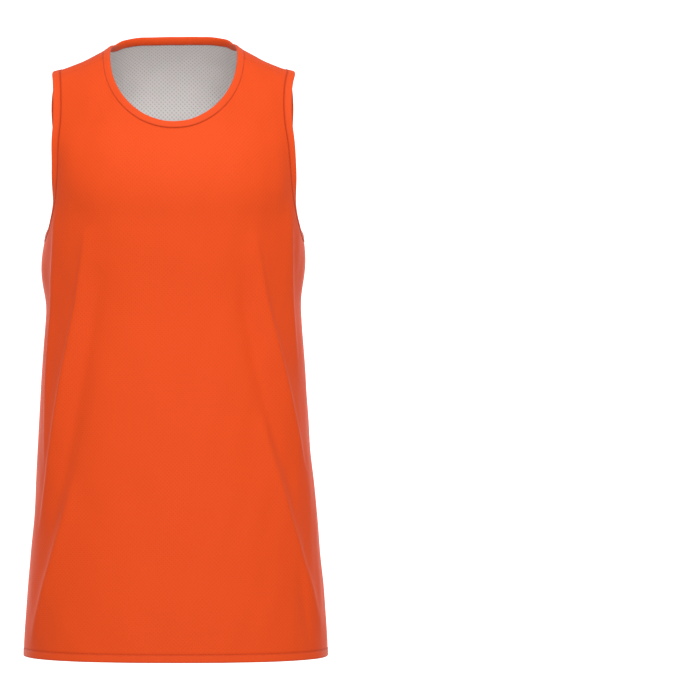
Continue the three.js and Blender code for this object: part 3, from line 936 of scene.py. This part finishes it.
class EdgeLoop:  # a closed seam line with the directions that its binding is built on
    def __init__(self, points, width, leanAt):
        self.points, self.length = evenLoop(points, binding["stepLength"])
        self.points = settle(self.points, 3)
        self.width = width
        self.outward = outwardAt(self.points)
        ahead = np.roll(self.points, -2, 0) - np.roll(self.points, 2, 0)
        ahead /= np.linalg.norm(ahead, axis=1, keepdims=True)
        free = np.cross(self.outward, ahead)
        self.free = free / np.linalg.norm(free, axis=1, keepdims=True)
        self.lean = np.radians(leanAt(self.points))
        self.rise = clothRise(self.points)

    def at(self, out, up):  # the points of a line that runs along the loop
        bend = self.lean * out / self.width
        turned = np.abs(bend) > 1e-6
        angle = np.where(turned, bend, 1)
        along = np.where(turned, out * np.sin(angle) / angle, out) - up * np.sin(bend)
        lifted = np.where(turned, out * (1 - np.cos(angle)) / angle, 0) + up * np.cos(bend)
        return self.points + self.free * along[:, None] + self.outward * (lifted + self.rise)[:, None]

    def upward(self, out):  # straight out of the strip's outer face
        bend = self.lean * out / self.width
        return self.outward * np.cos(bend)[:, None] - self.free * np.sin(bend)[:, None]


def bindingPiece(name, loop):
    section = bindingSection(loop.width)
    rings = np.stack([loop.at(out, up) for out, up in section], axis=1)
    stations, sides = rings.shape[:2]
    station, side = np.meshgrid(np.arange(stations), np.arange(sides), indexing="ij")
    after, beside = (station + 1) % stations, (side + 1) % sides
    corners = ((station, side), (station, beside), (after, beside), (after, side))
    faces = np.stack([a * sides + b for a, b in corners], -1).reshape(-1, 4)
    around = lengthsAlong(section)
    around = np.append(around, around[-1] + np.linalg.norm(section[0] - section[-1]))
    stepLength = loop.length / stations
    uvs = np.stack([
        np.stack([(station + more) * stepLength, around[side + over]], -1)
        for more, over in ((0, 0), (0, 1), (1, 1), (1, 0))
    ], 2).reshape(-1, 4, 2)
    # The strip is painted darker next to its seam: a painted shadow
    dipAndShadow = 1 - smoothStep(section[:, 0] + binding["seamOver"], 0, binding["seamShadowWidth"])
    return meshPiece(
        name, rings.reshape(-1, 3), faces, uvs, np.tile(dipAndShadow, stations), finishes["bindingKnit"]
    )


def neckLean(points):
    return binding["neckLean"] * smoothStep(points[:, 1], neckCorner[1], seams["neckBackDepth"])


def armholeLean(points):
    upper = np.where(points[:, 1] < 0, binding["armholeLean"], binding["armholeBackLean"])
    lower = smoothStep(-points[:, 2], *binding["curlHeights"])
    lean = upper + (binding["armholeCurl"] - upper) * lower
    return lean * smoothStep(np.abs(points[:, 1]), *binding["leanDepths"])


def flatLean(points):
    return np.zeros(len(points))


front, back = panels["front"]["edges"], panels["back"]["edges"]
seamPoints = binding["seamPoints"]
neckColumns = np.linspace(net["shoulderSteps"], columns - net["shoulderSteps"], seamPoints["neck"])
armholeRows = np.linspace(seamRows, rows, seamPoints["armhole"])
hemColumns = np.linspace(0, columns, seamPoints["hem"])
loops = {
    "neck_binding": EdgeLoop(
        np.concatenate([front["top"](neckColumns), back["top"](neckColumns[::-1])[1:-1]]),
        binding["neckWidth"], neckLean,
    ),
    "armhole_binding_left": EdgeLoop(
        np.concatenate([back["right"](armholeRows), front["right"](armholeRows[::-1])[1:-1]]),
        binding["armholeWidth"], armholeLean,
    ),
    "armhole_binding_right": EdgeLoop(
        np.concatenate([front["left"](armholeRows), back["left"](armholeRows[::-1])[1:-1]]),
        binding["armholeWidth"], armholeLean,
    ),
    "hem_binding": EdgeLoop(
        np.concatenate([front["bottom"](hemColumns[::-1]), back["bottom"](hemColumns)[1:-1]]),
        binding["hemWidth"], flatLean,
    ),
}
for node, loop in loops.items():
    pieces[node] = bindingPiece(f"{node}_strip", loop)
print("bindings made")


# Stitches: one row of lockstitch along each binding, on both of its faces

stitching = {
    "fromSeam": 1.9,
    "stitchLength": 2.4,
    "space": 0.8,  # between two stitches
    "threadWidth": 0.42,
    "sunk": 0.06,
    "segments": 6,  # of each stitch
    "rings": 6,
}


def stitchTree():
    tree = bpy.data.node_groups.new("stitchRow", "GeometryNodeTree")
    for name, way, kind in (
        ("Path", "INPUT", "Geometry"),
        ("Stitch Length", "INPUT", "Float"),
        ("Space", "INPUT", "Float"),
        ("Thread Width", "INPUT", "Float"),
        ("Thread", "INPUT", "Material"),
        ("Stitches", "OUTPUT", "Geometry"),
    ):
        tree.interface.new_socket(name, in_out=way, socket_type=f"NodeSocket{kind}")
    given = addNode(tree, "NodeGroupInput").outputs
    pitch = addNode(tree, "ShaderNodeMath", {"operation": "ADD"}, {
        0: given["Stitch Length"], 1: given["Space"],
    })
    path = addNode(tree, "GeometryNodeMeshToCurve", links={"Mesh": given["Path"]})
    steps = addNode(tree, "GeometryNodeResampleCurve", {"mode": "LENGTH"}, {
        "Curve": path, "Length": pitch,
    })
    whole = addNode(tree, "ShaderNodeCombineXYZ", links={
        0: given["Stitch Length"], 1: given["Thread Width"], 2: given["Thread Width"],
    })
    size = addNode(tree, "ShaderNodeVectorMath", {"operation": "SCALE", "Scale": 0.5}, {0: whole})
    ball = addNode(tree, "GeometryNodeMeshUVSphere", {
        "Segments": stitching["segments"], "Rings": stitching["rings"], "Radius": 1.0,
    })
    stitch = addNode(tree, "GeometryNodeTransform", links={"Geometry": ball, "Scale": size})
    outward = addNode(tree, "GeometryNodeInputNamedAttribute", {
        "data_type": "FLOAT_VECTOR", "Name": "outward",
    })
    tangent = addNode(tree, "GeometryNodeInputTangent")
    lie = addNode(tree, "FunctionNodeAlignRotationToVector", {"axis": "X"}, {"Vector": tangent})
    stand = addNode(tree, "FunctionNodeAlignRotationToVector", {"axis": "Z", "pivot_axis": "X"}, {
        "Rotation": lie, "Vector": outward,
    })
    placed = addNode(tree, "GeometryNodeInstanceOnPoints", links={
        "Points": steps, "Instance": stitch, "Rotation": stand,
    })
    real = addNode(tree, "GeometryNodeRealizeInstances", links={"Geometry": placed})
    smooth = addNode(tree, "GeometryNodeSetShadeSmooth", links={"Geometry": real})
    finish = addNode(tree, "GeometryNodeSetMaterial", links={
        "Geometry": smooth, "Material": given["Thread"],
    })
    addNode(tree, "NodeGroupOutput", links={"Stitches": finish})
    return tree


stitchRow = stitchTree()


def stitchPiece(name, rowsOfPath):  # each row is points and outward directions
    points = np.concatenate([row[0] for row in rowsOfPath]) * toMetres
    outward = np.concatenate([row[1] for row in rowsOfPath])
    edges, first = [], 0
    for row in rowsOfPath:
        number = np.arange(len(row[0]))
        edges.append(np.stack([number, np.roll(number, -1)], 1) + first)
        first += len(number)
    path = bpy.data.meshes.new(f"{name}_path")
    path.from_pydata(points, np.concatenate(edges), [])
    writeAttribute(path, "outward", "FLOAT_VECTOR", "vector", outward)
    guide = placeInScene(f"{name}_path", path)
    modifier = guide.modifiers.new("stitches", "NODES")
    modifier.node_group = stitchRow
    values = {
        "Stitch Length": stitching["stitchLength"] * toMetres,
        "Space": stitching["space"] * toMetres,
        "Thread Width": stitching["threadWidth"] * toMetres,
        "Thread": finishes["sewingThread"],
    }
    for socket in stitchRow.interface.items_tree:
        if socket.name in values and socket.in_out == "INPUT":
            modifier[socket.identifier] = values[socket.name]
    guide.update_tag()
    evaluated = guide.evaluated_get(bpy.context.evaluated_depsgraph_get())
    mesh = bpy.data.meshes.new_from_object(evaluated)
    guide.modifiers.remove(modifier)
    bpy.data.objects.remove(guide)
    return placeInScene(name, mesh)


stitches = {}
for node, loop in loops.items():
    out = stitching["fromSeam"]
    dome = binding["dome"] * math.sin(math.pi * out / loop.width)
    lift = dome - stitching["sunk"]
    upward = loop.upward(out)
    stitches[node] = stitchPiece(f"{node}_stitches", [
        (loop.at(out, binding["top"] + lift), upward),
        (loop.at(out, binding["bottom"] - lift), -upward),
    ])
    print(node, "stitches", len(stitches[node].data.polygons), "faces")


# Label, woven and bare, caught in the side seam on the white side

label = {
    "rows": (1.0, 2.0),  # of the panel's net, from the lower to the upper height of the label
    "columns": (0.0, 3.0),
    "gap": 0.16,
    "thickness": 0.7,
    "edgeRadius": 0.3,
    "edgeWidth": 1.2,
    "farEdgeShare": 0.5,  # of the radius, on the side away from the cloth
    "steps": 36,
}


def labelPiece():
    rowList = np.linspace(*label["rows"], label["steps"])
    columnList = np.linspace(*label["columns"], label["steps"])
    grid, flat = fineNet(panels["front"], rowList, columnList)
    outward = outwardAt(grid.reshape(-1, 3)).reshape(grid.shape)
    # The rim is rounded, and the same share paints it darker as a painted shadow
    edge = 1 - smoothStep(np.min(edgeDistances(grid), axis=0), 0, label["edgeWidth"])
    level = clothRise(grid) + layers["innerFaces"][1] - label["gap"]
    rounding = label["edgeRadius"] * edge
    near = level - rounding
    far = level - label["thickness"] + rounding * label["farEdgeShare"]
    return shell(
        "side_label_tab", offset(grid, outward, near), offset(grid, outward, far), flat, edge, -1,
        finishes["wovenLabel"],
    )


pieces["side_label"] = labelPiece()
print("label made")


# How the pieces stand in the frame

for node, piece in pieces.items():
    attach(piece, "root")
    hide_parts(node)
for piece in stitches.values():
    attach(piece, "root")

print("pieces ride on the frame")


# Floor, lights and camera

studio = {
    "floorHeight": -1.45,
    "floorRadius": 12.0,
    "coveRadius": 3.0,
    "coveSteps": 12,
    "wallHeight": 9.0,
    "floorSides": 96,
    "centreRadius": 0.01,
    "paper": "#FFFFFF",
    "paperGlow": 0.9,
    "paperLook": dict(roughness=0.9, specular=0.35, sheen=0.0, sheenRoughness=0.5, sheenTint="#FFFFFF"),
    "worldStrength": 0.5,
    "lights": table(  # white; places and sizes in metres, power in watts
        "name place size power",
        ("key", (0.15, -2.25, 2.15), 1.7, 54),
        ("fill", (0.2, -4.4, -0.2), 2.6, 38),
        ("rimLeft", (-1.7, 3.0, -0.9), 2.0, 30),
        ("rimRight", (1.7, 3.0, -0.9), 2.0, 20),
    ),
    "aim": (0.0, 0.0, -0.35),
    "camera": dict(place=(0, -4.9, -0.388), tilt=90, lens=198, sensor=36, shift=0.252),
}


def makeFloor():
    sides, level = studio["floorSides"], studio["floorHeight"]
    radius, cove = studio["floorRadius"], studio["coveRadius"]
    turns = np.linspace(0, 2 * np.pi, sides + 1)[:-1]
    bends = np.radians(np.linspace(0, 90, studio["coveSteps"]))
    profile = [(studio["centreRadius"], 0.0), (radius / 2, 0.0)]
    profile += [(radius - cove + cove * math.sin(a), cove - cove * math.cos(a)) for a in bends]
    profile.append((radius, studio["wallHeight"]))
    points = [(r * math.cos(t), r * math.sin(t), level + h) for r, h in profile for t in turns]
    faces = [list(range(sides))]
    for first in range(0, (len(profile) - 1) * sides, sides):
        for i in range(sides):
            j = (i + 1) % sides
            faces.append([first + sides + i, first + sides + j, first + j, first + i])
    mesh = bpy.data.meshes.new("studio_floor")
    mesh.from_pydata(points, [], faces)
    mesh.polygons.foreach_set("use_smooth", np.ones(len(faces), bool))
    floor = placeInScene("studio_floor", mesh)
    material, _, shader = newMaterial("paintedCove", studio["paperLook"])
    shader.inputs["Base Color"].default_value = toLinear(studio["paper"])
    shader.inputs["Emission Color"].default_value = toLinear(studio["paper"])
    shader.inputs["Emission Strength"].default_value = studio["paperGlow"]
    mesh.materials.append(material)
    floor.visible_diffuse = False  # white to the eye, with no glow on the cloth
    floor.visible_glossy = False


def makeLights():
    world = bpy.data.worlds.new("studio")
    bpy.context.scene.world = world
    world.use_nodes = True
    background = world.node_tree.nodes["Background"]
    background.inputs[0].default_value = (1, 1, 1, 1)
    background.inputs[1].default_value = studio["worldStrength"]
    for row in studio["lights"]:
        light = bpy.data.lights.new(row["name"], "AREA")
        light.shape, light.size, light.energy = "DISK", row["size"], row["power"]
        lamp = placeInScene(row["name"], light)
        lamp.location = row["place"]
        aim = Vector(studio["aim"]) - Vector(row["place"])
        lamp.rotation_euler = aim.to_track_quat("-Z", "Y").to_euler()


def makeCamera():
    given = studio["camera"]
    data = bpy.data.cameras.new("camera")
    data.lens, data.sensor_width, data.shift_x = given["lens"], given["sensor"], given["shift"]
    camera = placeInScene("camera", data)
    camera.location = given["place"]
    camera.rotation_euler = (math.radians(given["tilt"]), 0, 0)
    bpy.context.scene.camera = camera


makeFloor()
makeLights()
makeCamera()
bpy.context.scene.view_settings.view_transform = "Standard"
